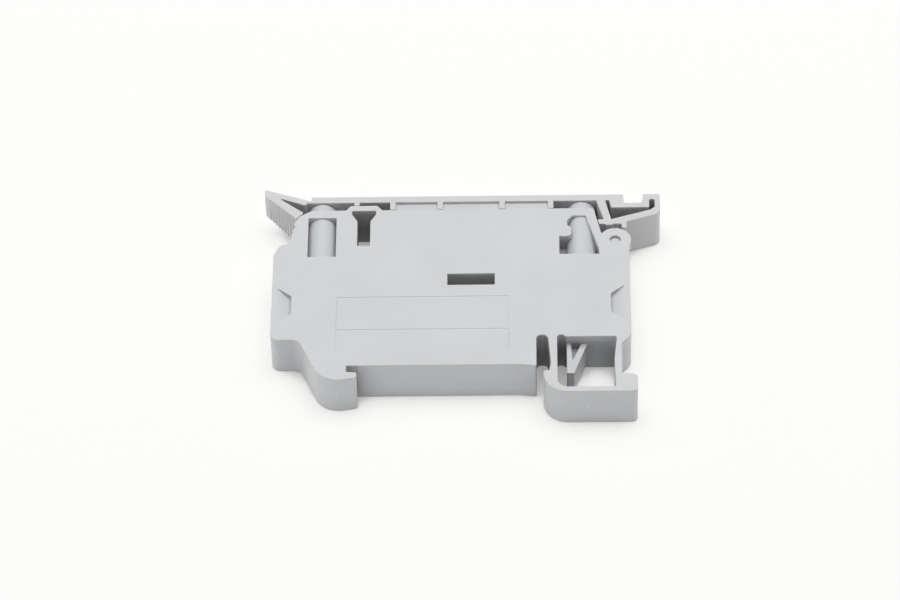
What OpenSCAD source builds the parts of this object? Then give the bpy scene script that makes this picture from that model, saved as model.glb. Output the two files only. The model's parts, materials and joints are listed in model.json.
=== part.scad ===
// Fuse terminal block for a flat-topped rail, with a hinged lever that carries a cartridge fuse.
// X runs along the block, +Y points away from the rail, +Z out of the closed side.
// The origin lies on the rail seat, at the middle of the rail and of the block's thickness.

/* [Housing] */
// Thickness of the block, from the open side to the closed side
housing_w = 8; // [7.6:0.1:9]
// Thickness of the closed side wall
wall = 1; // [0.8:0.1:1.2]
// Distance from the middle of the rail to the left side
left_reach = 30.9; // [30.5:0.1:34]
// Distance from the middle of the rail to the right side
right_reach = 31.7; // [31.3:0.1:34]
// Height of the top edge above the rail seat
top_h = 37.3; // [36.5:0.1:42]
// Height of the left shoulder above the rail seat
shoulder_h = 29.2; // [28:0.1:30]
// Height of the lower edge at the left side
left_foot_h = 6.2; // [5:0.1:8]
// Wall left between the coring cells on the open side
cell_wall = 1; // [0.8:0.1:1.4]
// Length of the cross slot
cross_l = 8.3; // [7:0.1:9]
// Width of the cross slot
cross_w = 2.7; // [2:0.1:3]
// Distance from the current bars up to the cross slot
cross_rise = 1.3; // [1:0.1:2.4]
// Width of the bridge slot at its mouth
bridge_mouth = 4.4; // [3.8:0.1:4.6]
// Width of the bridge slot's stem
bridge_stem = 2.3; // [1.8:0.1:2.6]
// Depth of the bridge slot
bridge_depth = 8.6; // [7:0.1:9.4]
// Width of the engraved lines round the label field
label_line = 0.14; // [0.1:0.01:0.2]
// Depth of the engraved lines round the label field
label_cut = 0.03; // [0.02:0.01:0.1]
// Length of the label field
label_l = 30.1; // [24:0.1:31]
// Height of the label field
label_h = 12.7; // [10:0.1:13.5]
// Diameter of the gate marks on the hook and the foot
gate_d = 0.8; // [0.5:0.1:1.2]
// Height of the gate marks
gate_h = 0.05; // [0.03:0.01:0.15]

/* [Rail] */
// Width of the rail
rail_w = 35; // [34.8:0.1:35.4]
// Thickness of the rail's lip
rail_t = 1; // [0.8:0.1:1.5]
// How far the fixed hook reaches under the rail's lip
hook_reach = 1.8; // [1.2:0.1:2.4]
// Height of the hook's tip
hook_t = 1.1; // [0.8:0.1:1.5]
// Depth of the flexible foot below the rail seat
foot_drop = 6.4; // [5.8:0.1:7]
// Thickness of the flexible foot's sole
sole_t = 1.1; // [0.8:0.1:1.5]
// Height of the flexible foot's window above the rail seat
window_h = 6.4; // [5.5:0.1:7]

/* [Clamps] */
// Distance from the left side to the left clamp screw
clamp_inset_left = 8.4; // [8:0.1:8.8]
// Distance from the right side to the right clamp screw
clamp_inset_right = 8.3; // [8.1:0.1:8.8]
// Height of the clamp screws' axis above the middle of the block's thickness
clamp_z = 0.6; // [0.4:0.1:0.8]
// Diameter of the clamp screw's shank
screw_d = 2.5; // [2:0.1:2.8]
// Diameter of the clamp screw's head
head_d = 3.5; // [3.2:0.1:3.8]
// Height of the clamp screw's head
head_h = 1.7; // [1.2:0.1:2]
// Outside diameter of the screwdriver tube
tube_d = 5.2; // [5:0.1:5.4]
// How much nearer the closed side the tube's axis lies than its bore
tube_rise = 0.5; // [0.3:0.1:0.6]
// Bore of the screwdriver tube
tube_bore_d = 3.2; // [2.8:0.1:3.4]
// Diameter of the wire entry
wire_d = 3.2; // [2.6:0.1:3.6]
// Height of the wire entry above the rail seat
wire_h = 14.4; // [14:0.1:15]
// Length of the clamp yoke along the wire
yoke_l = 6.4; // [5.6:0.1:6.6]
// Width of the clamp yoke across the block
yoke_w = 4.6; // [4.2:0.1:4.7]
// Thickness of the clamp yoke's sides
yoke_t = 0.6; // [0.4:0.1:0.7]
// Travel of the clamp yoke along the screw
yoke_travel = 3; // [2:0.1:3.4]

/* [Current bars] */
// Thickness of the current bar
bar_t = 1.2; // [0.8:0.1:1.5]
// Width of the current bar across the block
bar_w = 2.6; // [2:0.1:2.8]
// Height of the current bar's underside above the rail seat
bar_h = 16.4; // [16.2:0.1:17]

/* [Fuse] */
// Length of the fuse
fuse_l = 20; // [19.5:0.1:21]
// Diameter of the fuse's end caps
cap_d = 5.2; // [5:0.1:5.3]
// Length of an end cap
cap_l = 5; // [4.5:0.1:5.5]
// Thickness of an end cap
cap_t = 0.25; // [0.2:0.05:0.3]
// Wall of the fuse's glass tube
glass_t = 0.6; // [0.4:0.1:0.8]
// Diameter of the fuse wire
fuse_wire_d = 0.2; // [0.15:0.05:0.4]
// Distance from the middle of the rail to the middle of the fuse
fuse_x = 3.9; // [3.7:0.1:4.1]
// Thickness of the spring sheet of a fuse clip
clip_t = 0.4; // [0.3:0.05:0.45]
// Width of a fuse clip along the fuse
clip_w = 3; // [2.5:0.1:3.4]
// Diameter of a clip rivet's shank
rivet_d = 1.2; // [0.8:0.1:1.4]

/* [Lever] */
// Thickness of the lever's spine
spine_t = 1.4; // [1.2:0.1:2]
// Clear height between the housing's top edge and the spine
spine_gap = 1.9; // [1.8:0.1:2.4]
// How far the handle's tip reaches beyond the spine's left end
handle_l = 8.4; // [7:0.1:10]
// Thickness of the handle's tip across the block
handle_tip_w = 4.8; // [3.5:0.1:5.2]
// Thickness of the handle's heel across the block
handle_w = 6.9; // [5.5:0.1:7.4]
// Width of the ribs under the spine
rib_w = 1; // [0.8:0.1:1.4]
// Length of the fuse cradle
cradle_l = 7; // [6:0.1:7.6]
// Diameter of the hinge trunnions
trunnion_d = 1.9; // [1.6:0.1:2.2]
// Width of the groove for a marker tag
marker_w = 3.3; // [2.8:0.1:3.6]

/* [Fits] */
// Radial clearance of turning fits
turn_gap = 0.05; // [0.03:0.01:0.08]
// Clearance between moulded faces that close on each other
rest_gap = 0.1; // [0.08:0.01:0.15]
// Clearance between moulded parts that move past each other
move_gap = 0.3; // [0.25:0.01:0.35]
// Clearance of metal parts in their pockets
seat_gap = 0.2; // [0.15:0.01:0.25]

/* [Hidden] */
$fn = 48;

moulding_grey = [0.72, 0.73, 0.74];
tinned = [0.78, 0.78, 0.75];
zinc = [0.66, 0.67, 0.69];
nickel = [0.83, 0.81, 0.76];
clear_glass = [0.85, 0.92, 0.93];

// Spare depth of a cut beyond the face that it leaves
past = 0.5;
// Straight pieces in a rounded corner, more of them where the radius is large
fine_steps = 14;
coarse_steps = 6;
large_r = 1.3;

// Depth of the hook's rounded belly below its tip
hook_belly = 0.7;
// Distance from the hook's inner face back to its gate mark
hook_gate = 1.6;
// Distance from the rail's edge out to the foot's gate mark
foot_gate = 6.3;
// Drop of the pad between the rail seat and the foot's slot
pad_drop = 0.3;
// Height of the hook's notch above the rail seat
notch_roof = 0.05;
// Play of the rail's lip in the hook, along the block
hook_play = 0.1;
// Play of the rail's lip in the hook, in height
lip_play = 0.4;
// Distance from the rail's edge back to the end of its seat
seat_inset = 5;
// Distance from the rail's edge back to the foot's slot
slot_inset = 2.3;
// How far the foot's slot reaches beyond the rail's edge
slot_over = 0.2;
// Height of the foot's slot above the top of its window
slot_rise = 0.45;
// Distance from the rail's edge out to the foot's window
window_inset = 1.3;
// Plastic left between the right side and the top of the foot's window
window_rim = 2.5;
// Distance from the right side in to the foot's web
web_inset = 1.8;
// Thickness of the foot's web
web_t = 1.25;
// How far the foot's toe reaches beyond the right side
toe_over = 0.85;
// Height of the foot's toe
toe_h = 4;

// Plastic left between the coring cells and the metal parts or the foot's slot
cell_rim = 1.4;
// Plastic left between the coring cells and the rail seat
cell_floor = 1.2;
// Distance from the top edge down to the upper coring cells
cell_drop = 9.8;

// Distance from the left clamp screw to the bridge slot
bridge_inset = 7.4;
// Height of the raised edge round the bridge slot's mouth
bridge_rise = 1.1;

// Distance from the top edge down to the windows over the tubes
tube_window_drop = 1.8;
// Distance from the top edge down to the foot of the left tube's window
tube_window_low_left = 11.3;
// Distance from the top edge down to the foot of the right tube's window
tube_window_low_right = 11.2;

// Distance from the fuse's middle back to the left side of the label field
label_inset = 23.5;
// Distance from the current bars down to the label field
label_drop = 0.2;
// Height of the upper row of the label field
label_row = 7.7;

// Room in the fuse chamber beyond each end of the fuse
chamber_over = 3.6;
// Room in the fuse chamber below the end caps
chamber_sink = 1.4;

// Depth of the ramps at their inner end
ramp_depth = 0.9;
// Length of the ramps in the closed face over the wire entries
ramp_l = 3.4;
// Distance from the wire's axis down to the yoke's underside
yoke_drop = 3.8;
// Height of the clamp yoke
yoke_h = 10.4;
// Thickness of the yoke's plate round the screw
yoke_plate = 2;
// Thickness of the yoke's sole under the wire
yoke_sole = 1;
// Distance from the tube's foot up to the screw's head
head_sink = 0.8;
// Width of the slot in the screw's head
screw_slot_w = 0.6;
// Depth of the slot in the screw's head
screw_slot_depth = 0.8;

// How far the current bar runs on beyond the yoke
bar_end = 1.6;
// Distance from the fuse's end back to the current bar's riser
riser_inset = 4.6;
// How far the current bar runs on beyond the clip
flange_over = 0.6;

// Depth of the fuse's axis below the top edge
fuse_sink = 1.7;
// Clearance of the glass tube in the end caps
glass_gap = 0.02;
// Distance from the end caps down to the floor of the clips
clip_sink = 2;
// Distance from the top edge down to the ends of the clips
clip_drop = 0.2;
// Room beside an end cap at the foot of a clip's leg
clip_splay = 0.2;
// Room beside an end cap at the mouth of a clip
clip_flare = 0.3;
// Distance from the middle of a clip out to its rivet
rivet_shift = 0.3;
// How far a rivet's head reaches beyond its shank
rivet_lip = 0.45;
// Height of a rivet's head
rivet_head_h = 0.5;

// How far the spine runs on beyond the left clamp screw
spine_over = 2;
// Height of the handle's tip above the spine
handle_rise = 2;
// How much narrower the cradle's mouth is than its bore
cradle_snap = 0.7;
// How far the cradle reaches below the fuse's axis
cradle_grip = 1.9;

// Distance from the right side to the hinge
pivot_inset = 2.4;
// Depth of the hinge below the top edge
pivot_drop = 7.8;
// Radius of the lever's hub
hub_r = 2;
// Radius of the housing's hinge lugs
lug_r = 2.8;
// Thickness of a hinge lug
lug_w = 1.7;
// Depth of a trunnion's end below the face of its lug
trunnion_sink = 0.5;

// Distance from the open side to the lever
lever_inset = 0.2;
// Distance from the closed side to the short skirt
skirt_inset = 0.45;
// How far the short skirt runs beyond the fuse's left end
skirt_over_left = 4.4;
// How far the short skirt runs beyond the fuse's right end
skirt_over_right = 4.6;
// Play of the hub between the lugs, on each side
hub_play = 0.2;
// Distance from the hinge lugs up to the lever's lower bar
bar_rise = 1.1;
// Distance from the hinge back to the lever's arm
arm_inset = 3.2;
// Distance from the hinge out to the marker groove
groove_inset = 1.6;

// Levels across the block
closed_z = housing_w / 2;
open_z = -closed_z;
wall_z = closed_z - wall;
chamber_z = (open_z + wall_z) / 2;

// Rail hooks and flexible foot
rail_half = rail_w / 2;
hook_x = -rail_half - hook_play;
seat_left = hook_x + hook_reach;
seat_right = rail_half - seat_inset;
hook_y = -rail_t - lip_play;
slot_left = rail_half - slot_inset;
slot_right = rail_half + slot_over;
slot_h = window_h + slot_rise;
window_left = rail_half + window_inset;
window_right = right_reach - window_rim;
web_outer = right_reach - web_inset;
web_inner = web_outer - web_t;
foot_right = right_reach + toe_over;
heel_y = toe_h - foot_drop;
belly_y = hook_y - hook_t - hook_belly;

// Clamps: places along the block and heights above the rail seat
clamp_left = left_reach - clamp_inset_left;
clamp_right = right_reach - clamp_inset_right;
bridge_x = bridge_inset - clamp_left;
yoke_floor = wire_h - yoke_drop;
tube_foot = yoke_floor + yoke_h + yoke_travel + 2 * seat_gap;
head_y = tube_foot + head_sink;
head_top = head_y + head_h;
head_roof = head_top + seat_gap;
tube_end = top_h + spine_gap - rest_gap;

// Fuse and its clips
fuse_y = top_h - fuse_sink;
fuse_z = chamber_z;
glass_d = cap_d - 2 * cap_t - 2 * glass_gap;
cradle_d = glass_d + 2 * turn_gap;
clip_floor = fuse_y - cap_d / 2 - clip_sink;
cross_y = bar_h + bar_t + cross_rise;
clip_offset = (fuse_l - cap_l) / 2;
clip_top = top_h - clip_drop;
flange_end = clip_offset + clip_w / 2 + flange_over;
rivet_x = clip_offset + rivet_shift;
rivet_head_d = rivet_d + 2 * rivet_lip;
riser_x = fuse_l / 2 - riser_inset;

// Lever
spine_y = top_h + spine_gap;
spine_top = spine_y + spine_t;
spine_left = -clamp_left - spine_over;
lever_open_z = open_z + lever_inset;
skirt_z = closed_z - skirt_inset;
skirt_left = fuse_x - fuse_l / 2 - skirt_over_left;
skirt_right = fuse_x + fuse_l / 2 + skirt_over_right;
hem = top_h + rest_gap;
cradle_wall_z = wall_z - seat_gap;
pivot_x = right_reach - pivot_inset;
pivot_y = top_h - pivot_drop;
hub_z = closed_z - lug_w - hub_play;
bar_y = pivot_y + lug_r + bar_rise;
arm_x = pivot_x - arm_inset;
groove_left = pivot_x + groove_inset;

function xy(p) = [p[0], p[1]];
function unit(v) = v / norm(v);

// Arc that rounds corner b between its neighbours a and c
function corner_arc(a, b, c, r) =
    let (
        u = unit(a - b),
        v = unit(c - b),
        half = acos(u * v) / 2,
        centre = b + unit(u + v) * r / sin(half),
        start = b + u * r / tan(half) - centre,
        end = b + v * r / tan(half) - centre,
        turn = atan2(start.x * end.y - start.y * end.x, start * end),
        first = atan2(start.y, start.x),
        steps = r > large_r ? fine_steps : coarse_steps
    )
    [
        for (k = [0 : steps])
            let (angle = first + turn * k / steps)
                centre + r * [cos(angle), sin(angle)]
    ];

// Outline whose corners are given as [x, y, radius]
function rounded(corners) =
    let (n = len(corners))
    [
        for (i = [0 : n - 1])
            let (a = corners[(i + n - 1) % n], b = corners[i], c = corners[(i + 1) % n])
                each (b[2] == 0 ? [xy(b)] : corner_arc(xy(a), xy(b), xy(c), b[2]))
    ];

// Prism of an outline between two levels
module plate(corners, z0, z1) {
    translate([0, 0, z0])
        linear_extrude(z1 - z0)
            polygon(rounded(corners));
}

// Box between two corners
module block(low, high) {
    translate(low)
        cube(high - low);
}

// Round bar along Y
module bar_along_y(d, y0, y1) {
    translate([0, y0, 0])
        rotate([-90, 0, 0])
            cylinder(d = d, h = y1 - y0);
}

// Round bar along X
module bar_along_x(d, x0, x1) {
    translate([x0, 0, 0])
        rotate([0, 90, 0])
            cylinder(d = d, h = x1 - x0);
}

// Silhouette of the housing: rail seat, flexible foot, right side, top edge, left side and hook
housing_outline = [
    [seat_left, 0, 0],
    [seat_left, notch_roof, 0],
    [hook_x, notch_roof, 0],
    [hook_x, hook_y, 0],
    [seat_left, hook_y - 0.2, 0.15],
    [seat_left, hook_y - 0.2 - hook_t, 0.4],
    [hook_x - 1, belly_y - 0.05, 2],
    [hook_x - 4.45, belly_y + 0.05, 4.5],
    [hook_x - 8.4, left_foot_h, 2],
    [-left_reach, left_foot_h, 1.4],
    [-left_reach, shoulder_h - 2.7, 1.2],
    [-left_reach + 1.1, shoulder_h - 0.4, 0.6],
    [-left_reach + 2.6, shoulder_h, 0.2],
    [-left_reach + 3.4, top_h - 4.4, 0.2],
    [-left_reach + 3.85, top_h - 3.9, 0.15],
    [-left_reach + 3.4, top_h - 3.2, 0.2],
    [-left_reach + 3.85, top_h - 2.2, 0.2],
    [-left_reach + 4.45, top_h - 1.3, 0.4],
    [-left_reach + 6.5, top_h, 1],
    [bridge_x - 3.2, top_h, 0.2],
    [bridge_x - 2.4, top_h + bridge_rise, 0.2],
    [bridge_x + 2.3, top_h + bridge_rise, 0.2],
    [bridge_x + 3.2, top_h, 0.2],
    [pivot_x - 3.7, top_h, 0.5],
    [pivot_x - 2.45, pivot_y + 1.7, 0.2],
    [right_reach, pivot_y, 0],
    [right_reach, window_h + 0.2, 3],
    [web_outer, window_h - 1.6, 1.4],
    [web_outer, heel_y, 0.3],
    [foot_right, heel_y, 0.9],
    [foot_right, -foot_drop, 0.9],
    [rail_half - 1.1, -foot_drop, 4.2],
    [rail_half - 1.1, hook_y - 0.05, 0.2],
    [rail_half - 0.1, hook_y - 0.05, 0.05],
    [slot_right, 0.5, 0.3],
    [slot_right - 0.5, slot_h, 0.9],
    [slot_left, slot_h, 0.9],
    [slot_left, -pad_drop, 0.2],
    [seat_right + 2.2, -pad_drop, 0.5],
    [seat_right, 0, 3]
];

// Window inside the flexible foot
foot_window = [
    [window_left, slot_h, 0.6],
    [window_left + 1.4, slot_h, 0.6],
    [window_left + 1.4, window_h, 0.15],
    [window_right, window_h, 0.5],
    [web_inner, 1.2, 2],
    [web_inner + 0.2, sole_t - foot_drop, 0.3],
    [window_left, sole_t - foot_drop, 1.8]
];

// Spring tongue in the foot's window: a V of two arms with a lower web between them
module spring_tongue() {
    low_z = open_z + 1.6;
    arm_z = closed_z - 1.8;
    web_z = closed_z - 3.3;
    x = window_left + 1.65;
    tongue = [
        [x, window_h + past, 0],
        [x, -0.6, 0.2],
        [x + 1.25, -0.6, 0.2],
        [x + 3.65, window_h, 0],
        [x + 3.65, window_h + past, 0]
    ];
    hollow = [
        [x + 0.75, window_h, 0],
        [x + 1, 2.2, 0.1],
        [x + 2.55, window_h, 0]
    ];
    difference() {
        plate(tongue, low_z, arm_z);
        plate(hollow, web_z, closed_z);
    }
}

// Window in the closed wall over the left screwdriver tube
tube_window_left = [
    [-clamp_left - 2.45, top_h - tube_window_low_left, 0],
    [-clamp_left + 2.55, top_h - tube_window_low_left, 0],
    [-clamp_left + 2.55, top_h - tube_window_drop, 0.2],
    [-clamp_left - 2.45, top_h - tube_window_drop, 0.2]
];

// Window in the closed wall over the right screwdriver tube
tube_window_right = [
    [clamp_right - 3.95, top_h - tube_window_low_right, 0],
    [clamp_right + 3.1, top_h - tube_window_low_right, 0.1],
    [clamp_right + 3, top_h - 9.7, 0.5],
    [clamp_right + 0.75, top_h - tube_window_drop, 0.3],
    [clamp_right - 1.6, top_h - tube_window_drop, 0.3],
    [clamp_right - 2.5, top_h - 2.9, 0.2],
    [clamp_right - 2.5, top_h - 4.1, 0.3],
    [clamp_right - 1.85, top_h - 4.6, 0.5],
    [clamp_right - 1.85, top_h - 6.8, 0.8],
    [clamp_right - 3.95, top_h - 6.8, 0.1]
];

// Slot for a plug-in bridge, wide at the mouth
t_slot = [
    [bridge_x - bridge_mouth / 2, top_h - 0.1, 0.3],
    [bridge_x - bridge_mouth / 2 + 0.1, top_h - 1.1, 0.3],
    [bridge_x - bridge_stem / 2, top_h - 2.7, 0.4],
    [bridge_x - bridge_stem / 2, top_h - 0.1 - bridge_depth, 0],
    [bridge_x + bridge_stem / 2, top_h - 0.1 - bridge_depth, 0],
    [bridge_x + bridge_stem / 2, top_h - 2.7, 0.4],
    [bridge_x + bridge_mouth / 2 - 0.1, top_h - 1.1, 0.3],
    [bridge_x + bridge_mouth / 2, top_h - 0.1, 0.3]
];

// Shallow ramp in the closed face over a wire entry, deepest at x_in and level near the side
module wire_ramp(x_in, x_out) {
    step = closed_z - ramp_depth;
    run = (x_out - x_in) * 0.74;
    half_in = 2.2;
    half_out = 4.8;
    intersection() {
        plate([
            [x_in, wire_h - half_in, 0],
            [x_in, wire_h + half_in, 0],
            [x_out, wire_h + half_out, 0],
            [x_out, wire_h - half_out, 0]
        ], step - past, closed_z + past);
        translate([0, wire_h + half_out + past, 0])
            rotate([90, 0, 0])
                linear_extrude(2 * (half_out + past))
                    polygon([
                        [x_in - (x_out - x_in), step],
                        [x_in, step],
                        [x_in + run, closed_z],
                        [x_in + run, closed_z + past],
                        [x_in - (x_out - x_in), closed_z + past]
                    ]);
    }
}

// Engraved lines of the label field: three sides and the divider
module label_lines() {
    left = fuse_x - label_inset;
    right = left + label_l;
    top = bar_h - label_drop;
    divider = top - label_row;
    low_z = closed_z - label_cut;
    for (y = [top, divider])
        block([left, y - label_line, low_z], [right, y, closed_z + past]);
    for (x = [left, right - label_line])
        block([x, top - label_h, low_z], [x + label_line, top, closed_z + past]);
}

// Coring cells on the open side, in equal columns and rows
module cells(low, high, columns, rows) {
    step_x = (high.x - low.x + cell_wall) / columns;
    step_y = (high.y - low.y + cell_wall) / rows;
    for (i = [0 : columns - 1])
        for (j = [0 : rows - 1])
            translate([low.x + i * step_x, low.y + j * step_y, open_z - past])
                cube([step_x - cell_wall, step_y - cell_wall, wall_z - open_z + past]);
}

// Pockets on the open side for one clamp and its current bar, on the side given by -1 or 1
module metal_pockets(side, clamp_x) {
    chamber = yoke_l / 2 + seat_gap;
    bar_low = bar_h - seat_gap;
    bar_high = bar_h + bar_t + seat_gap;
    bar_floor = clamp_z + bar_w / 2 + 0.1;
    riser_in = riser_x - seat_gap;
    riser_out = riser_x + bar_t + seat_gap;
    flange_out = flange_end + 2 * seat_gap;
    clip_pocket = clip_floor - bar_t - rivet_head_h - move_gap;
    block([clamp_x - chamber, yoke_floor - seat_gap, open_z - past], [clamp_x + chamber, tube_foot, wall_z]);
    translate([fuse_x, 0, 0])
        mirror([side < 0 ? 1 : 0, 0, 0]) {
            outer = side * (clamp_x - fuse_x);
            block([riser_in, bar_low, open_z - past], [outer + chamber + bar_end, bar_high, bar_floor]);
            block([riser_in, bar_low, open_z - past], [riser_out, clip_floor, bar_floor]);
            block(
                [riser_in, clip_pocket, open_z - past],
                [flange_out, fuse_y, wall_z]
            );
        }
}

// Fuse chamber, open at the top for the lever and on the open side
module fuse_chamber() {
    half = fuse_l / 2 + chamber_over;
    floor_y = fuse_y - cap_d / 2 - chamber_sink;
    block([fuse_x - half, floor_y, open_z - past], [fuse_x + half, top_h + past, wall_z]);
}

// Room between the hinge lugs for the lever's hub
module hinge_gap() {
    block(
        [pivot_x - hub_r - 0.35, pivot_y - hub_r - 0.9, lug_w - closed_z],
        [right_reach + 2, pivot_y + 8, closed_z - lug_w]
    );
}

// Wire entry with its funnel, from the side at x_out to the clamp at x_in
module wire_entry(x_in, x_out) {
    outward = x_out > x_in ? 1 : -1;
    translate([x_in, wire_h, clamp_z])
        rotate([0, outward * 90, 0]) {
            cylinder(d = wire_d, h = abs(x_out - x_in) + past);
            translate([0, 0, abs(x_out - x_in) - 1.2])
                cylinder(d1 = wire_d, d2 = wire_d + 1.2, h = 1.2 + 0.02);
        }
}

// Low cone left on the face at y where the plastic entered the mould
module gate_mark(x, y) {
    translate([x, y + gate_h, 0])
        rotate([90, 0, 0])
            cylinder(d1 = 1.5 * gate_d, d2 = gate_d / 2, h = 2 * gate_h);
}

module housing_body() {
    difference() {
        plate(housing_outline, open_z, closed_z);
        plate(foot_window, open_z - past, closed_z + past);
    }
    spring_tongue();
    gate_mark(hook_x - hook_gate, belly_y);
    gate_mark(rail_half + foot_gate, -foot_drop);
    difference() {
        translate([pivot_x, pivot_y, open_z])
            cylinder(r = lug_r, h = housing_w);
        block([right_reach, pivot_y - lug_r, open_z - past], [pivot_x + lug_r + past, pivot_y + lug_r, 0]);
    }
}

module housing_pockets() {
    yoke_edge = yoke_l / 2 + cell_rim;
    riser_edge = riser_x + bar_t + cell_rim;
    upper_low = bar_h + bar_t + cell_rim;
    upper_high = top_h - cell_drop;
    plate(tube_window_left, clamp_z, closed_z + past);
    plate(tube_window_right, clamp_z, closed_z + past);
    plate(t_slot, open_z - past, closed_z + past);
    block(
        [fuse_x - cross_l / 2, cross_y, open_z - past],
        [fuse_x + cross_l / 2, cross_y + cross_w, closed_z + past]
    );
    wire_ramp(-left_reach + ramp_l, -left_reach);
    wire_ramp(right_reach - ramp_l, right_reach);
    label_lines();
    metal_pockets(-1, -clamp_left);
    metal_pockets(1, clamp_right);
    fuse_chamber();
    hinge_gap();
    cells([hook_x - 0.4, cell_floor], [slot_left - cell_rim, bar_h - seat_gap - cell_wall], 5, 2);
    cells([-clamp_left + yoke_edge, upper_low], [fuse_x - riser_edge, upper_high], 3, 2);
    cells([fuse_x + riser_edge, upper_low], [clamp_right - yoke_edge, upper_high], 1, 2);
}

module housing() {
    color(moulding_grey)
        difference() {
            union() {
                difference() {
                    housing_body();
                    housing_pockets();
                }
                for (x = [-clamp_left, clamp_right])
                    translate([x, 0, clamp_z + tube_rise])
                        bar_along_y(tube_d, tube_foot, tube_end);
            }
            for (x = [-clamp_left, clamp_right])
                translate([x, 0, clamp_z]) {
                    bar_along_y(tube_bore_d, tube_foot - past, tube_end + past);
                    bar_along_y(head_d + 2 * seat_gap, tube_foot - past, head_roof);
                }
            wire_entry(-clamp_left - yoke_l / 2, -left_reach);
            wire_entry(clamp_right + yoke_l / 2, right_reach);
            translate([pivot_x, pivot_y, open_z - past])
                cylinder(d = trunnion_d + 2 * turn_gap, h = housing_w + 2 * past);
        }
}

// Handle of the lever: two bars that meet at the tip, the lower one serrated for the finger
module lever_handle() {
    tip_x = spine_left - handle_l;
    tip_y = spine_top + handle_rise;
    heel = [-left_reach + 4.35, top_h - 1.2];
    tube_side = -clamp_left - tube_d / 2 - move_gap;
    toe = [-left_reach + 3.75, top_h - 2];
    brow = [tip_x + 0.05, tip_y - 1.65];
    grip = [
        [tip_x, tip_y, 0.2],
        [spine_left + 0.1, spine_y + 0.4, 0],
        [spine_left + 1.4, spine_y + 0.4, 0],
        [spine_left + 1.4, spine_y, 0],
        [tube_side, spine_y, 0],
        [tube_side, spine_y - 0.55, 0.2],
        [tip_x + 2.5, tip_y - 2.05, 0.1],
        [tube_side - 0.6, top_h - 0.35, 0.1],
        [tube_side - 0.6, top_h - 0.88, 0.1],
        [heel.x, heel.y, 0.3],
        [toe.x, toe.y, 0.2],
        [brow.x, brow.y, 0.2]
    ];
    face = toe - brow;
    outward = unit([face.y, -face.x]);
    teeth = 10;
    tooth_r = 0.28;
    tooth_depth = 0.15;
    difference() {
        plate(grip, closed_z - handle_w, closed_z);
        for (k = [2 : teeth]) {
            place = brow + face * k / (teeth + 1) + outward * (tooth_r - tooth_depth);
            translate([place.x, place.y, closed_z - handle_w - past])
                cylinder(r = tooth_r, h = handle_w + 2 * past, $fn = 24);
        }
        translate([0, tip_y + past, 0])
            rotate([90, 0, 0])
                linear_extrude(tip_y - toe.y + 2 * past)
                    polygon([
                        [tip_x - past, closed_z - handle_w - past],
                        [heel.x, closed_z - handle_w - past],
                        [heel.x, closed_z - handle_w],
                        [tip_x, closed_z - handle_tip_w],
                        [tip_x - past, closed_z - handle_tip_w]
                    ]);
    }
}

// Right end of the lever: diagonal arm, marker groove and the bar above the hinge
module lever_end() {
    groove_right = groove_left + marker_w;
    post = groove_right + 1.3;
    outer = post + 1.9;
    groove_floor = top_h + 1.2;
    bar_top = bar_y + 1.1;
    frame = [
        [arm_x, spine_top, 0],
        [outer, spine_top, 0.3],
        [outer, bar_y + 2.5, 1.5],
        [pivot_x + 2.1, bar_y + 0.5, 0.1],
        [pivot_x + 2.1, bar_y - 1.1, 0.4],
        [pivot_x + 1.3, bar_y - 1, 0.2],
        [pivot_x + 1.2, bar_y, 0.2],
        [pivot_x - 0.2, bar_y, 0.1],
        [pivot_x - 0.5, bar_y - 0.25, 0.1],
        [pivot_x - 1.5, bar_y - 0.25, 0.1],
        [pivot_x - 1.8, bar_y, 0.1],
        [arm_x + 0.45, bar_y, 0.1],
        [arm_x + 0.2, bar_top, 0.1],
        [arm_x + 1.3, bar_top, 0.2],
        [arm_x, spine_y, 0]
    ];
    hollow = [
        [arm_x + 1.6, spine_y, 0.1],
        [arm_x + 2.3, spine_y, 0.1],
        [arm_x + 2.65, top_h + 0.1, 0.1],
        [post, top_h + 0.1, 0.3],
        [post, spine_y + 0.2, 0.45],
        [post + 1, spine_y + 0.2, 0.45],
        [post + 1, top_h + 0.2, 0.3],
        [post + 0.2, top_h - 0.5, 0.3],
        [arm_x + 2.6, bar_top, 0.1]
    ];
    difference() {
        plate(frame, lever_open_z, closed_z);
        plate(hollow, lever_open_z - past, closed_z + past);
        plate([
            [groove_left + 0.15, groove_floor, 0.1],
            [groove_right, groove_floor, 0.1],
            [groove_right + 0.4, spine_top + past, 0],
            [groove_left - 0.15, spine_top + past, 0]
        ], lever_open_z - past, closed_z + past);
    }
}

// Hub between the lugs, with the neck up to the lever and a trunnion on each side
module lever_hub() {
    neck = [
        [pivot_x - 1.6, pivot_y, 0],
        [pivot_x - 1.6, bar_y + 0.5, 0],
        [pivot_x + 1.9, bar_y + 0.5, 0.4],
        [pivot_x + 1.9, pivot_y + 2.6, 0.6],
        [pivot_x + 1.4, pivot_y, 0]
    ];
    plate(neck, -hub_z, hub_z);
    translate([pivot_x, pivot_y, -hub_z])
        cylinder(r = hub_r, h = 2 * hub_z);
    translate([pivot_x, pivot_y, open_z + trunnion_sink])
        cylinder(d = trunnion_d, h = housing_w - 2 * trunnion_sink);
}

// Cradle that snaps round the glass of the fuse
module fuse_cradle() {
    mouth = cradle_d - cradle_snap;
    floor_y = fuse_y - cradle_grip;
    difference() {
        block(
            [fuse_x - cradle_l / 2, floor_y, lever_open_z],
            [fuse_x + cradle_l / 2, spine_y, cradle_wall_z]
        );
        translate([0, fuse_y, fuse_z])
            bar_along_x(cradle_d, fuse_x - cradle_l / 2 - past, fuse_x + cradle_l / 2 + past);
        block(
            [fuse_x - cradle_l / 2 - past, floor_y - past, fuse_z - mouth / 2],
            [fuse_x + cradle_l / 2 + past, fuse_y, fuse_z + mouth / 2]
        );
    }
}

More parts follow.
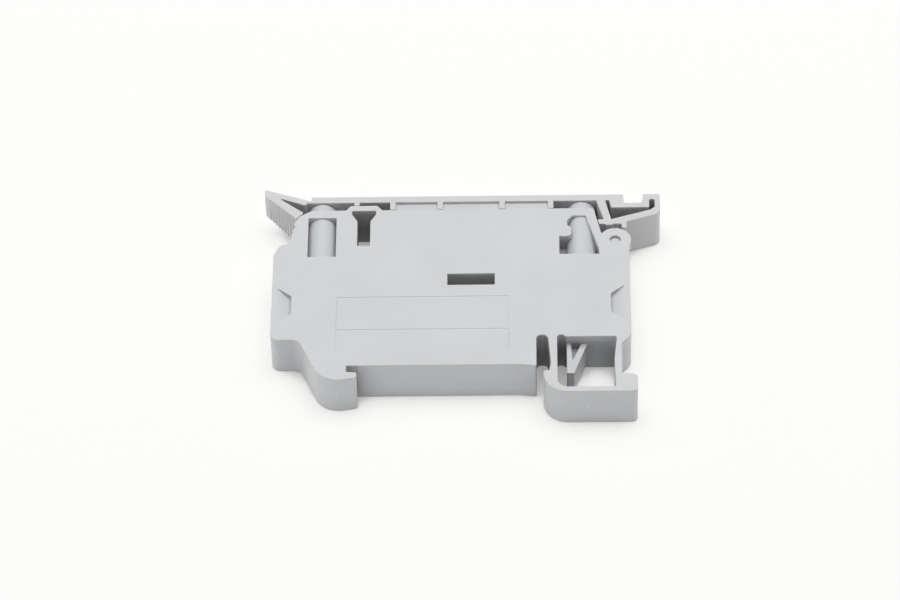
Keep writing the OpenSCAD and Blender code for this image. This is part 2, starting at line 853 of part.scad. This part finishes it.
// Side walls under the spine: a long one on the open side, a short one with ribs on the closed side
module lever_skirts() {
    bridge_rib = bridge_x - 1.8;
    bridge_hem = hem + bridge_rise;
    plate([
        [spine_left, hem, 0],
        [bridge_x - 3.3, hem, 0],
        [bridge_x - 2.5, bridge_hem, 0],
        [bridge_x + 2.4, bridge_hem, 0],
        [bridge_x + 3.3, hem, 0],
        [arm_x - 0.5, hem, 0],
        [arm_x - 0.5, spine_y, 0],
        [spine_left, spine_y, 0]
    ], lever_open_z, lever_open_z + 0.7);
    block([skirt_left, hem, skirt_z - wall], [skirt_right, spine_y, skirt_z]);
    for (x = [skirt_left, fuse_x - 0.3 * fuse_l, fuse_x + 0.25 * fuse_l, skirt_right - rib_w])
        block([x, hem, skirt_z - wall], [x + rib_w, spine_y, closed_z]);
    block([bridge_rib, bridge_hem, lever_open_z], [bridge_rib + rib_w, spine_y, closed_z]);
}

module fuse_lever() {
    color(moulding_grey)
        union() {
            block([spine_left, spine_y, lever_open_z], [groove_left, spine_top, closed_z]);
            lever_handle();
            lever_end();
            lever_hub();
            lever_skirts();
            fuse_cradle();
        }
}

// Slotted screw whose tip bears on the current bar
module clamp_screw(x) {
    color(zinc)
        translate([x, 0, clamp_z])
            difference() {
                union() {
                    bar_along_y(screw_d, bar_h + bar_t, head_y);
                    bar_along_y(head_d, head_y, head_top);
                }
                block(
                    [-head_d, head_top - screw_slot_depth, -screw_slot_w / 2],
                    [head_d, head_top + past, screw_slot_w / 2]
                );
            }
}

// Cage round the current bar: the screw lifts it and presses the wire up against the bar
module clamp_yoke(x) {
    half = yoke_l / 2;
    side = yoke_w / 2;
    inner = side - yoke_t;
    color(zinc)
        translate([x, yoke_floor, clamp_z])
            difference() {
                block([-half, 0, -side], [half, yoke_h, side]);
                block([-half - past, yoke_sole, -inner], [half + past, yoke_h - yoke_plate, inner]);
                bar_along_y(screw_d + 2 * turn_gap, yoke_h - yoke_plate - past, yoke_h + past);
            }
}

// Bar from the clamp to the foot of the fuse clip, on the side given by -1 or 1
module current_bar(side, clamp_x) {
    low_z = clamp_z - bar_w / 2;
    high_z = clamp_z + bar_w / 2;
    outer = side * (clamp_x - fuse_x) + yoke_l / 2 + bar_end;
    color(tinned)
        translate([fuse_x, 0, 0])
            mirror([side < 0 ? 1 : 0, 0, 0])
                difference() {
                    union() {
                        block([riser_x, bar_h, low_z], [outer, bar_h + bar_t, high_z]);
                        block([riser_x, bar_h, low_z], [riser_x + bar_t, clip_floor, high_z]);
                        block(
                            [riser_x, clip_floor - bar_t, low_z],
                            [flange_end, clip_floor, high_z]
                        );
                    }
                    translate([rivet_x, 0, clamp_z])
                        bar_along_y(rivet_d + 2 * turn_gap, clip_floor - bar_t - past, clip_floor + past);
                }
}

// Fork spring that grips an end cap: the legs pinch at the cap's middle and flare at the mouth
module fuse_clip(side) {
    foot = cap_d / 2 + clip_splay;
    pinch = cap_d / 2 + turn_gap;
    mouth = cap_d / 2 + clip_flare;
    t = clip_t;
    leg = [
        [foot + t, clip_floor],
        [pinch + t, fuse_y],
        [mouth + t, clip_top],
        [mouth, clip_top],
        [pinch, fuse_y],
        [foot, clip_floor + t]
    ];
    other_leg = [for (k = [len(leg) - 1 : -1 : 0]) [-leg[k].x, leg[k].y]];
    color(nickel)
        difference() {
            translate([fuse_x + side * clip_offset + clip_w / 2, 0, fuse_z])
                rotate([0, -90, 0])
                    linear_extrude(clip_w)
                        polygon(concat(leg, other_leg));
            translate([fuse_x + side * rivet_x, 0, clamp_z])
                bar_along_y(rivet_d + 2 * turn_gap, clip_floor - past, clip_floor + t + past);
        }
}

// Rivet that holds the clip down on the current bar
module clip_rivet(side) {
    color(zinc)
        translate([fuse_x + side * rivet_x, 0, clamp_z]) {
            bar_along_y(rivet_d, clip_floor - bar_t - rivet_head_h, clip_floor + clip_t + rivet_head_h);
            bar_along_y(rivet_head_d, clip_floor + clip_t, clip_floor + clip_t + rivet_head_h);
            bar_along_y(rivet_head_d, clip_floor - bar_t - rivet_head_h, clip_floor - bar_t);
        }
}

module fuse_tube() {
    half = fuse_l / 2 - cap_t - glass_gap;
    color(clear_glass)
        translate([fuse_x, fuse_y, fuse_z])
            difference() {
                bar_along_x(glass_d, -half, half);
                bar_along_x(glass_d - 2 * glass_t, -half - past, half + past);
            }
}

module fuse_cap(side) {
    color(nickel)
        translate([fuse_x, fuse_y, fuse_z])
            mirror([side < 0 ? 1 : 0, 0, 0])
                difference() {
                    bar_along_x(cap_d, fuse_l / 2 - cap_l, fuse_l / 2);
                    bar_along_x(cap_d - 2 * cap_t, fuse_l / 2 - cap_l - past, fuse_l / 2 - cap_t);
                }
}

module fuse_wire() {
    color(tinned)
        translate([fuse_x, fuse_y, fuse_z])
            bar_along_x(fuse_wire_d, cap_t - fuse_l / 2, fuse_l / 2 - cap_t);
}

housing();
fuse_lever();
clamp_screw(-clamp_left);  // clamp_screw_left
clamp_screw(clamp_right);  // clamp_screw_right
clamp_yoke(-clamp_left);  // clamp_yoke_left
clamp_yoke(clamp_right);  // clamp_yoke_right
current_bar(-1, -clamp_left);  // current_bar_left
current_bar(1, clamp_right);  // current_bar_right
fuse_clip(-1);  // fuse_clip_left
fuse_clip(1);  // fuse_clip_right
clip_rivet(-1);  // clip_rivet_left
clip_rivet(1);  // clip_rivet_right
fuse_tube();
fuse_cap(-1);  // fuse_cap_left
fuse_cap(1);  // fuse_cap_right
fuse_wire();
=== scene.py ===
import json
import math

import bpy
from mathutils import Matrix, Vector


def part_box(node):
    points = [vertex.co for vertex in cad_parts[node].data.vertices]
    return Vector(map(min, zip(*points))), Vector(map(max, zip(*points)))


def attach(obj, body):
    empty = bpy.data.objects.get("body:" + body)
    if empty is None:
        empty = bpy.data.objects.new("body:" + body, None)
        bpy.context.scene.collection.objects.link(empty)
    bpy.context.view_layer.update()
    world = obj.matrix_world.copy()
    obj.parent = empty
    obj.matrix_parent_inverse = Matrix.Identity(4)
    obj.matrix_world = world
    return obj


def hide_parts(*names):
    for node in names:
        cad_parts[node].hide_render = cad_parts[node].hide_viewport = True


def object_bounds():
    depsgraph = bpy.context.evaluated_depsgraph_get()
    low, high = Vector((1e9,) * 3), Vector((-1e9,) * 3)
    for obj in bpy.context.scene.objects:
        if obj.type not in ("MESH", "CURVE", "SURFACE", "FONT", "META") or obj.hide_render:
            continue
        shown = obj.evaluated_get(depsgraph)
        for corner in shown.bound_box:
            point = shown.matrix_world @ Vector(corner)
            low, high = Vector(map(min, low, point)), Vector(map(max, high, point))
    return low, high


MM = 0.001

# Camera: the photograph's viewing angle, found from the block's own corners
IMAGE_W = 900
FOCAL_PX = 4691.05
SENSOR_MM = 36.0
CAMERA_PITCH = math.radians(46.857)
CAMERA_YAW = math.radians(-1.4714)
CAMERA_ROLL = math.radians(-1.6555)
CAMERA_OFFSET = Vector((-0.1569, 17.2085, 812.73)) * MM
CAMERA_CLIP = (0.01, 20.0)
# The camera was found with the rail seat 0.8 mm above its zero and the open side at its zero
CAMERA_ZERO = Vector((0.0, 0.8, 4.0)) * MM

# Light: the sky is bright near the horizon, most on the left, and dim overhead, and a wide lamp stands over
# the back. LAMP_SHARE is what a level surface receives from the lamp, 1 being plain white.
SKY_LOW = 1.85
SKY_HIGH = 0.02
SKY_EDGE = (0.10, 0.38)
SKY_LEFT = 0.25
LAMP_SHARE = 0.80
LAMP_PLACE = Vector((0.02, 0.20, 0.60))
LAMP_SIZE = (1.2, 0.6)
LAMP_STEPS = 24

# Floor: its white as seen, the share of that white that shadows don't dim, by how open the floor is within
# FLOOR_FADE, which paints shade round the part where it hems the floor in, and the light that the floor
# throws back
FLOOR_HALF = 3.0
FLOOR_WHITE = (0.98, 0.975, 0.92)
FLOOR_GLOW = ((0.0, 0.24), (0.46, 0.24), (0.58, 0.60), (1.0, 0.80))
FLOOR_FADE = 4 * MM
FLOOR_SAMPLES = 16
FLOOR_BOUNCE = (0.92, 0.92, 0.92)
FLOOR_ROUGHNESS = 0.9

# Painted shade in the hollows of the mouldings: how far a wall darkens another, the share of its colour that
# the deepest keeps, and the heights between which this grows from none to full
CAVITY_REACH = 6 * MM
CAVITY_SHADE = 0.55
CAVITY_TOP = 4.5 * MM
CAVITY_LOW = -0.5 * MM
CAVITY_SAMPLES = 6

# Edge radii of the moulded and metal pieces
MOULD_EDGE = 0.14 * MM
METAL_EDGE = 0.06 * MM
EDGE_SAMPLES = 6

# Range of the noise over which a cloud goes from dark to light
CLOUD_ENDS = (0.3, 0.7)

# Moulded plastic: flow clouds, patches of sheen, eroded grain and shallow sink marks
CLOUD_SIZE = 9 * MM
CLOUD_DARK = 0.975
CLOUD_LIGHT = 1.02
SHEEN_SIZE = 0.7 * MM
SHEEN_ROUGHNESS = (0.42, 0.58)
GRAIN_SIZE = 0.16 * MM
GRAIN_DEPTH = 0.004 * MM
SINK_SIZE = 4 * MM
SINK_DEPTH = 0.02 * MM
MOULD_SPECULAR = 0.35

# Plated metal: clouds in the plating, the spread of its roughness and the depth of its drawn lines
PLATING_SIZE = 1.3 * MM
PLATING_DARK = 0.88
PLATING_SPREAD = 0.07
DRAWN_DEPTH = 0.003 * MM

# Glass of the fuse, with a faint film
GLASS_TINT = (0.93, 0.97, 0.97)
GLASS_IOR = 1.5
FILM_SIZE = 1.5 * MM
FILM_ROUGHNESS = (0.02, 0.06)

# Gate marks of the housing, drawn as lighter spots in its colour: their places, the radii between which the
# spot fades, and how much lighter its middle is
GATES = (Vector((23.8, -6.4, 0.0)) * MM, Vector((-19.2, -3.2, 0.3)) * MM)
GATE_FADE = (0.10 * MM, 0.45 * MM)
GATE_GAIN = 1.18

# Clamp screws: the shank and head of the part's source, with a thread cut into the shank. THREAD_FLAT is the
# share of a flank's run that stays flat at the crest, and again at the root.
SHANK_R = 1.25 * MM
HEAD_H = 1.7 * MM
HEAD_CHAMFER = 0.18 * MM
SLOT_W = 0.6 * MM
SLOT_DEPTH = 0.8 * MM
TIP_R = 0.85 * MM
THREAD_PITCH = 0.45 * MM
THREAD_DEPTH = 0.24 * MM
THREAD_FLAT = 0.15
RINGS_A_TURN = 8
HALF_POINTS = 18
SHARP_ANGLE = math.radians(40)


def camera_rotation():
    """Rows are the camera's right, down and forward directions."""
    turn = Matrix.Rotation(CAMERA_YAW, 3, "Z")
    cos, sin = math.cos(CAMERA_PITCH), math.sin(CAMERA_PITCH)
    look = Matrix(((1, 0, 0), (0, -sin, -cos), (0, cos, -sin)))
    spin = Matrix.Rotation(CAMERA_ROLL, 3, "Z")
    return spin @ look @ turn


def add_camera():
    rows = camera_rotation()
    place = -(rows.transposed() @ CAMERA_OFFSET) - CAMERA_ZERO
    data = bpy.data.cameras.new("camera")
    data.sensor_width = SENSOR_MM
    data.lens = FOCAL_PX * SENSOR_MM / IMAGE_W
    data.clip_start, data.clip_end = CAMERA_CLIP
    camera = bpy.data.objects.new("camera", data)
    axes = Matrix((rows[0], -rows[1], -rows[2])).transposed()
    camera.matrix_world = Matrix.Translation(place) @ axes.to_4x4()
    bpy.context.scene.collection.objects.link(camera)
    bpy.context.scene.camera = camera


def feed(tree, target, value):
    """Links an output to a node's input, or sets the input to a plain value."""
    if isinstance(value, bpy.types.NodeSocket):
        tree.links.new(value, target)
    else:
        target.default_value = value


def map_range(tree, value, given, wanted, smooth=False):
    """Maps a value from the given range to the wanted one."""
    made = tree.nodes.new("ShaderNodeMapRange")
    if smooth:
        made.interpolation_type = "SMOOTHSTEP"
    names = ("Value", "From Min", "From Max", "To Min", "To Max")
    for name, number in zip(names, (value, *given, *wanted)):
        feed(tree, made.inputs[name], number)
    return made.outputs["Result"]


def combine(tree, operation, first, second):
    """Joins two numbers by a calculation, such as their product."""
    made = tree.nodes.new("ShaderNodeMath")
    made.operation = operation
    feed(tree, made.inputs[0], first)
    feed(tree, made.inputs[1], second)
    return made.outputs[0]


def along_axis(tree, vector, axis):
    """The length of a vector along one axis."""
    made = tree.nodes.new("ShaderNodeSeparateXYZ")
    tree.links.new(vector, made.inputs[0])
    return made.outputs[axis]


def colour_ramp(tree, source, stops):
    """Colour that runs through the stops, each a position and a colour, as the source grows."""
    made = tree.nodes.new("ShaderNodeValToRGB")
    elements = made.color_ramp.elements
    while len(elements) < len(stops):
        elements.new(0.5)
    for element, (position, colour) in zip(elements, stops):
        element.position = position
        element.color = (*colour, 1.0)
    tree.links.new(source, made.inputs["Fac"])
    return made.outputs["Color"]


def seen_ray(tree):
    """1 for rays from the camera, from a reflection and through glass, 0 for the rest."""
    path = tree.nodes.new("ShaderNodeLightPath")
    result = path.outputs["Is Camera Ray"]
    for kind in ("Is Glossy Ray", "Is Transmission Ray"):
        result = combine(tree, "MAXIMUM", result, path.outputs[kind])
    return result


def add_world():
    world = bpy.data.worlds.new("sky")
    world.use_nodes = True
    tree = world.node_tree
    background = tree.nodes["Background"]
    background.inputs["Color"].default_value = (1.0, 1.0, 1.0, 1.0)
    way = tree.nodes.new("ShaderNodeTexCoord").outputs["Generated"]
    sky = map_range(tree, along_axis(tree, way, "Z"), SKY_EDGE, (SKY_LOW, SKY_HIGH), smooth=True)
    side = map_range(tree, along_axis(tree, way, "X"), (-1.0, 1.0), (1.0 + SKY_LEFT, 1.0 - SKY_LEFT))
    unseen = combine(tree, "MULTIPLY", sky, side)
    strength = map_range(tree, seen_ray(tree), (0.0, 1.0), (unseen, 1.0))
    tree.links.new(strength, background.inputs["Strength"])
    bpy.context.scene.world = world


def landed_share(turn):
    """What a level surface at the origin receives of the turned lamp's light, summed over the lamp's face."""
    landed = 0.0
    for i in range(LAMP_STEPS):
        for j in range(LAMP_STEPS):
            u = (i + 0.5) / LAMP_STEPS - 0.5
            v = (j + 0.5) / LAMP_STEPS - 0.5
            point = LAMP_PLACE + turn @ Vector((u * LAMP_SIZE[0], v * LAMP_SIZE[1], 0.0))
            ray = point.normalized()
            landed += ray.z * (turn.col[2] @ ray) / point.length_squared
    return landed / LAMP_STEPS ** 2


def add_lamp():
    data = bpy.data.lights.new("softbox", "AREA")
    data.shape = "RECTANGLE"
    data.size, data.size_y = LAMP_SIZE
    lamp = bpy.data.objects.new("softbox", data)
    lamp.location = LAMP_PLACE
    lamp.rotation_mode = "QUATERNION"
    lamp.rotation_quaternion = (-LAMP_PLACE).to_track_quat("-Z", "Y")
    bpy.context.scene.collection.objects.link(lamp)
    turn = lamp.rotation_quaternion.to_matrix()
    # A white surface under a lamp of P watts shines with P * landed_share / pi ** 2
    data.energy = LAMP_SHARE * math.pi ** 2 / landed_share(turn)


def white_table():
    """White table that keeps the part's shadow and shows a share of white to the rays that are seen, less of
    it where the part hems the floor in, which paints shade round the part.
    """
    material = bpy.data.materials.new("white_table")
    material.use_nodes = True
    tree = material.node_tree
    nodes, links = tree.nodes, tree.links
    seen = seen_ray(tree)
    white = nodes.new("ShaderNodeMixRGB")
    white.inputs["Color1"].default_value = (*FLOOR_BOUNCE, 1.0)
    white.inputs["Color2"].default_value = (*FLOOR_WHITE, 1.0)
    links.new(seen, white.inputs["Fac"])
    matt = nodes["Principled BSDF"]
    matt.inputs["Roughness"].default_value = FLOOR_ROUGHNESS
    matt.inputs["Specular IOR Level"].default_value = 0.0
    links.new(white.outputs["Color"], matt.inputs["Base Color"])
    # Painted shade: the share of seen white falls where the part crowds the floor
    clear = nodes.new("ShaderNodeAmbientOcclusion")
    clear.samples = FLOOR_SAMPLES
    clear.inputs["Distance"].default_value = FLOOR_FADE
    stops = [(position, (share, share, share)) for position, share in FLOOR_GLOW]
    share_of_glow = combine(tree, "MULTIPLY", colour_ramp(tree, clear.outputs["AO"], stops), seen)
    both = nodes.new("ShaderNodeMixShader")
    links.new(share_of_glow, both.inputs["Fac"])
    links.new(matt.outputs[0], both.inputs[1])
    links.new(nodes.new("ShaderNodeEmission").outputs[0], both.inputs[2])
    links.new(both.outputs[0], nodes["Material Output"].inputs["Surface"])
    return material


def add_floor(height):
    mesh = bpy.data.meshes.new("floor")
    corners = [(x * FLOOR_HALF, y * FLOOR_HALF, height) for x, y in ((-1, -1), (1, -1), (1, 1), (-1, 1))]
    mesh.from_pydata(corners, [], [(0, 1, 2, 3)])
    mesh.materials.append(white_table())
    floor = bpy.data.objects.new("floor", mesh)
    bpy.context.scene.collection.objects.link(floor)


class Shader:
    """A Principled material with short calls for the procedural nodes that feed it."""

    def __init__(self, name):
        self.material = bpy.data.materials.new(name)
        self.material.use_nodes = True
        self.tree = self.material.node_tree
        self.bsdf = self.tree.nodes["Principled BSDF"]
        coordinates = self.add("ShaderNodeTexCoord")
        self.place = coordinates.outputs["Object"]
        self.facing = coordinates.outputs["Normal"]

    def add(self, kind, **values):
        made = self.tree.nodes.new(kind)
        for key, value in values.items():
            setattr(made, key, value)
        return made

    def set(self, **values):
        """Feeds the material's inputs, named with underscores for spaces."""
        for key, value in values.items():
            feed(self.tree, self.bsdf.inputs[key.replace("_", " ")], value)

    def noise(self, size, detail=2.0, roughness=0.5):
        """Noise whose features are about size metres across."""
        made = self.add("ShaderNodeTexNoise")
        made.inputs["Scale"].default_value = 1.0 / size
        made.inputs["Detail"].default_value = detail
        made.inputs["Roughness"].default_value = roughness
        feed(self.tree, made.inputs["Vector"], self.place)
        return made.outputs["Fac"]

    def clouds(self, source, low, high):
        """Colour between low and high, by a noise."""
        return colour_ramp(self.tree, source, tuple(zip(CLOUD_ENDS, (low, high))))

    def spread(self, source, wanted):
        """Number in the wanted range, by a noise."""
        return map_range(self.tree, source, (0.0, 1.0), wanted)

    def scale(self, colour, factor):
        made = self.add("ShaderNodeVectorMath", operation="SCALE")
        feed(self.tree, made.inputs[0], colour)
        feed(self.tree, made.inputs["Scale"], factor)
        return made.outputs["Vector"]

    def round_edges(self, radius):
        made = self.add("ShaderNodeBevel", samples=EDGE_SAMPLES)
        made.inputs["Radius"].default_value = radius
        return made.outputs["Normal"]

    def paint_hollow_shade(self, colour):
        """Paints shade into a colour on the walls deep in the piece's own hollows, and not on floors that
        face up.
        """
        hollow = self.add("ShaderNodeAmbientOcclusion", samples=CAVITY_SAMPLES, only_local=True)
        hollow.inputs["Distance"].default_value = CAVITY_REACH
        height = along_axis(self.tree, self.place, "Z")
        upward = along_axis(self.tree, self.facing, "Z")
        least = map_range(self.tree, height, (CAVITY_LOW, CAVITY_TOP), (CAVITY_SHADE, 1.0))
        shade = map_range(self.tree, hollow.outputs["AO"], (0.0, 1.0), (least, 1.0))
        spared = map_range(self.tree, upward, (0.0, 1.0), (shade, 1.0))
        return self.scale(colour, spared)

    def whiten(self, colour, points):
        """Lightens a colour in a small spot around each point."""
        for point in points:
            away = self.add("ShaderNodeVectorMath", operation="DISTANCE")
            away.inputs[1].default_value = point
            feed(self.tree, away.inputs[0], self.place)
            gain = map_range(self.tree, away.outputs["Value"], GATE_FADE, (GATE_GAIN, 1.0))
            colour = self.scale(colour, gain)
        return colour

    def bump(self, source, depth, under):
        """Relief of the given depth on top of another normal."""
        made = self.add("ShaderNodeBump")
        made.inputs["Distance"].default_value = depth
        made.inputs["Strength"].default_value = 1.0
        feed(self.tree, made.inputs["Height"], source)
        feed(self.tree, made.inputs["Normal"], under)
        return made.outputs["Normal"]


def moulded_polyamide(name, colour, gates=()):
    """Light grey moulding: faint flow clouding, fine eroded grain, an uneven satin sheen, painted shade in
    its hollows and lighter spots round the given gates.
    """
    shader = Shader(name)
    darker = tuple(c * CLOUD_DARK for c in colour)
    lighter = tuple(c * CLOUD_LIGHT for c in colour)
    clouded = shader.clouds(shader.noise(CLOUD_SIZE, detail=3.0), darker, lighter)
    edges = shader.round_edges(MOULD_EDGE)
    grain = shader.bump(shader.noise(GRAIN_SIZE, detail=3.0, roughness=0.6), GRAIN_DEPTH, edges)
    # The base colour carries painted shade in the moulding's hollows, and lighter spots round the gates
    shader.set(
        Base_Color=shader.whiten(shader.paint_hollow_shade(clouded), gates),
        Roughness=shader.spread(shader.noise(SHEEN_SIZE), SHEEN_ROUGHNESS),
        Normal=shader.bump(shader.noise(SINK_SIZE, detail=1.0), SINK_DEPTH, grain),
        Specular_IOR_Level=MOULD_SPECULAR,
    )
    return shader.material


def plated_metal(name, colour, roughness, grain):
    """Plated metal: cloudy plating over fine drawn lines."""
    shader = Shader(name)
    darker = tuple(c * PLATING_DARK for c in colour)
    worn = (roughness - PLATING_SPREAD, roughness + PLATING_SPREAD)
    edges = shader.round_edges(METAL_EDGE)
    shader.set(
        Base_Color=shader.clouds(shader.noise(PLATING_SIZE, detail=3.0), darker, colour),
        Roughness=shader.spread(shader.noise(grain, detail=3.0), worn),
        Normal=shader.bump(shader.noise(grain), DRAWN_DEPTH, edges),
        Metallic=1.0,
    )
    return shader.material


def clear_glass(name):
    """Clear glass, a little uneven in its gloss."""
    shader = Shader(name)
    shader.set(
        Base_Color=(*GLASS_TINT, 1.0),
        Transmission_Weight=1.0,
        IOR=GLASS_IOR,
        Roughness=shader.spread(shader.noise(FILM_SIZE), FILM_ROUGHNESS),
    )
    return shader.material


def thread_radius(along, angle):
    """Radius of a right-handed thread with a chamfered tip, at a distance from the tip."""
    phase = (along / THREAD_PITCH - angle / math.tau) % 1.0
    sink = (abs(2 * phase - 1) - THREAD_FLAT) / (1 - 2 * THREAD_FLAT)
    return min(SHANK_R - THREAD_DEPTH * min(1.0, max(0.0, sink)), TIP_R + along)


def half_angles(radius):
    """Angles round a circle that leave out the screwdriver slot, as two halves."""
    reach = math.pi / 2 - math.asin(SLOT_W / 2 / radius)
    steps = [-reach + 2 * reach * i / (HALF_POINTS - 1) for i in range(HALF_POINTS)]
    return steps + [angle + math.pi for angle in steps]


def screw_points(low, high):
    """Points of the screw, ring by ring from its tip. The slot's floor is the third ring from the end."""
    axis_x, axis_z = (low.x + high.x) / 2, (low.z + high.z) / 2
    head_r = (high.x - low.x) / 2
    rim_r = head_r - HEAD_CHAMFER
    head_y = high.y - HEAD_H
    shank = head_y - low.y
    around = half_angles(head_r)
    count = len(around)
    steps = math.ceil(shank / THREAD_PITCH * RINGS_A_TURN)
    rings = []
    for i in range(steps + 1):
        along = shank * i / steps
        rings.append((low.y + along, around, [thread_radius(along, angle) for angle in around]))
    rings += [
        (head_y, around, [head_r - HEAD_CHAMFER / 2] * count),
        (head_y + HEAD_CHAMFER / 2, around, [head_r] * count),
        (high.y - SLOT_DEPTH, around, [head_r] * count),
        (high.y - HEAD_CHAMFER, around, [head_r] * count),
        (high.y, half_angles(rim_r), [rim_r] * count),
    ]
    return [
        (axis_x + radius * math.sin(angle), y, axis_z + radius * math.cos(angle))
        for y, angles, radii in rings
        for angle, radius in zip(angles, radii)
    ]


def screw_faces(total):
    """Faces of a screw of so many points: whole bands up to the slot's floor, and two halves above it."""
    count = 2 * HALF_POINTS
    floor, middle, top = (total - rings * count for rings in (3, 2, 1))
    halves = ((0, HALF_POINTS - 1), (HALF_POINTS, count - 1))
    faces = [tuple(reversed(range(count)))]
    for start in range(0, floor, count):
        for j in range(count):
            k = (j + 1) % count
            faces.append((start + j, start + k, start + count + k, start + count + j))
    for first, last in halves:
        for start in (floor, middle):
            for j in range(first, last):
                faces.append((start + j, start + j + 1, start + count + j + 1, start + count + j))
        faces.append(tuple(range(top + first, top + last + 1)))
        faces.append((floor + first, middle + first, top + first, top + last, middle + last, floor + last))
    faces.append(tuple(floor + j for half in halves for j in half))
    return faces


def add_screw(node, body, material, name):
    """Slotted screw with a cut thread, in place of the plain one."""
    low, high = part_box(node)
    points = screw_points(low, high)
    mesh = bpy.data.meshes.new(name)
    mesh.from_pydata(points, [], screw_faces(len(points)))
    mesh.shade_smooth()
    mesh.set_sharp_from_angle(angle=SHARP_ANGLE)
    mesh.materials.append(material)
    screw = bpy.data.objects.new(name, mesh)
    bpy.context.scene.collection.objects.link(screw)
    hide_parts(node)
    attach(screw, body)


def dress(node, material):
    """Gives a CAD piece its material."""
    mesh = frame["nodes"][node].data
    mesh.materials.clear()
    mesh.materials.append(material)


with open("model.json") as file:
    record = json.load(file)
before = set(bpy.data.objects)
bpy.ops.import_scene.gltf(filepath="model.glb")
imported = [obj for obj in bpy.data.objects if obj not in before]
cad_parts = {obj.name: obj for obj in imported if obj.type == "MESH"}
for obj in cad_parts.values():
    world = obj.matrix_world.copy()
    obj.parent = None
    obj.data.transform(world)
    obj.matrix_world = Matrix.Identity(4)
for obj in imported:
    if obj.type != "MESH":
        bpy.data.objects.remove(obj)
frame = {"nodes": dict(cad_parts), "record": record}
cad_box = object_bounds()

scene = bpy.context.scene
scene.view_settings.view_transform = "Standard"
add_camera()
add_world()
add_lamp()
add_floor(cad_box[0].z)

housing_grey = moulded_polyamide("housing_polyamide", (0.635, 0.643, 0.653), GATES)
lever_grey = moulded_polyamide("lever_polyamide", (0.638, 0.643, 0.651))
zinc = plated_metal("zinc_plating", (0.66, 0.67, 0.69), roughness=0.35, grain=0.12 * MM)
tin = plated_metal("tin_plating", (0.78, 0.78, 0.75), roughness=0.30, grain=0.2 * MM)
spring = plated_metal("nickel_spring_sheet", (0.80, 0.77, 0.70), roughness=0.25, grain=0.15 * MM)
nickel = plated_metal("nickel_cap", (0.83, 0.81, 0.76), roughness=0.18, grain=0.3 * MM)
glass = clear_glass("fuse_glass")

slot_of = {s["node"]: s["material_slot"] for s in frame["record"]["subparts"]}
look_of_slot = {
    "housing_plastic": housing_grey,
    "lever_plastic": lever_grey,
    "zinc_steel": zinc,
    "tinned_brass": tin,
    "spring_metal": spring,
    "cap_metal": nickel,
    "fuse_glass": glass,
}
for node in frame["nodes"]:
    dress(node, look_of_slot[slot_of[node]])
for side in ("left", "right"):
    add_screw("clamp_screw_" + side, "screw_" + side, zinc, "threaded_screw_" + side)
